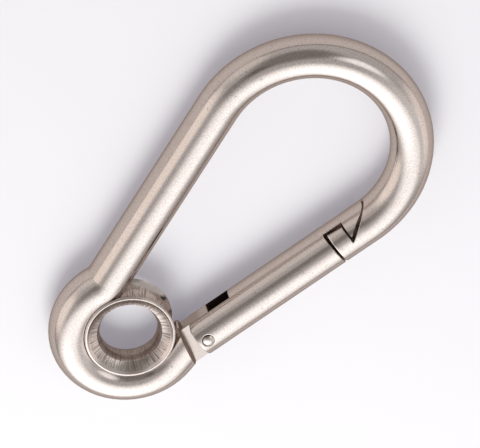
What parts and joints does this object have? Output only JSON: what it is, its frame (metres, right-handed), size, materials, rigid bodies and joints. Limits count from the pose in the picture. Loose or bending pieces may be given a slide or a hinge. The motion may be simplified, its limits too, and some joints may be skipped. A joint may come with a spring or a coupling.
{
  "type": "snap hook",
  "caption": "Pear-shaped stainless carbine hook bent from round bar, with a flared eyelet in its eye and a sprung gate that swings inward and hooks over the nose.",
  "frame": {"origin": "centre of the eyelet's bore", "axes": "+Z along the bore, square to the hook's plane; +X from the eye to the bow, along the hook's length; the gate is on the -Y side and the spine on the +Y side"},
  "size_m": [0.1186, 0.0634, 0.0116],
  "materials": {
    "hook_steel": "tumble-polished stainless steel, satin with fine speckle",
    "eyelet_steel": "turned stainless steel with fine radial tool marks",
    "gate_steel": "polished round stainless bar, satin along its length",
    "pin_steel": "polished stainless rivet",
    "plunger_steel": "plain turned stainless",
    "spring_steel": "drawn stainless spring wire"
  },
  "bodies": {
    "hook": {"hook_body": "hook_steel", "eyelet": "eyelet_steel"},
    "gate_arm": {"gate": "gate_steel", "pivot_pin": "pin_steel", "gate_spring": "spring_steel"},
    "plunger": {"spring_plunger": "plunger_steel"}
  },
  "joints": [
    {"name": "gate_hinge", "type": "hinge", "parent": "hook", "child": "gate_arm", "pos_m": [0.01203, -0.01596, 0], "axis": [0, 0, 1], "range_deg": [0, 40], "stiffness_Nm_per_rad": 0.03, "springref_deg": -131.78},
    {"name": "plunger_slide", "type": "slide", "parent": "gate_arm", "child": "plunger", "axis": [0.981, -0.1942, 0], "range_m": [0, 0.0012], "deforming": ["gate_spring"]}
  ],
  "couplings": [
    {"joint": "plunger_slide", "follows": "gate_hinge", "m_per_rad": 0.0017}
  ]
}
